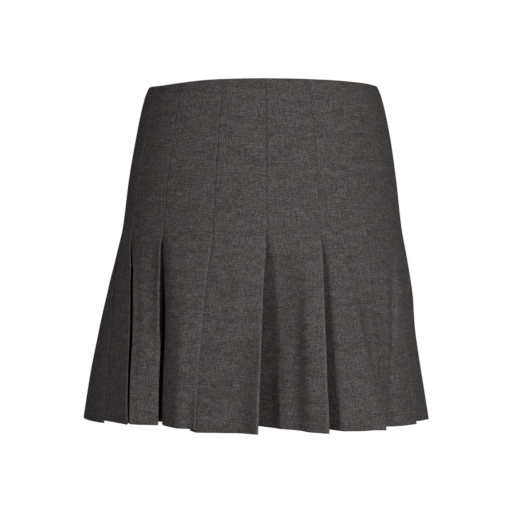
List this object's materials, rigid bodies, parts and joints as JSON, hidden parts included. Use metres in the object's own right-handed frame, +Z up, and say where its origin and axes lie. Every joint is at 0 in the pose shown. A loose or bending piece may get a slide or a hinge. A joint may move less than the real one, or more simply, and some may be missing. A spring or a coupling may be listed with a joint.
{
  "type": "pleated skirt",
  "caption": "Short skirt in dark grey wool suiting, with knife pleats stitched down to the hip and free below, shown filled out, with a zip at the back.",
  "frame": {"origin": "middle of the waist opening, level with the top edge", "axes": "+Z up the wearer, -Y towards the front, +X towards the wearer's left"},
  "size_m": [0.4129, 0.295, 0.402],
  "materials": {
    "suiting": "matte plain-weave wool melange",
    "zip_tape": "matte woven tape",
    "zip_coil": "matte moulded coil",
    "zip_metal": "satin dark metal"
  },
  "bodies": {
    "skirt": {"skirt_front": "suiting", "skirt_back_left": "suiting", "skirt_back_right": "suiting", "zip_tape_left": "zip_tape", "zip_tape_right": "zip_tape", "zip_coil": "zip_coil", "zip_slider": "zip_metal"},
    "pull": {"zip_pull": "zip_metal"}
  },
  "joints": [
    {"name": "pull_swing", "type": "hinge", "parent": "skirt", "child": "pull", "pos_m": [0, 0.10226, -0.00677], "axis": [1, 0, 0], "range_deg": [0, 170]}
  ]
}
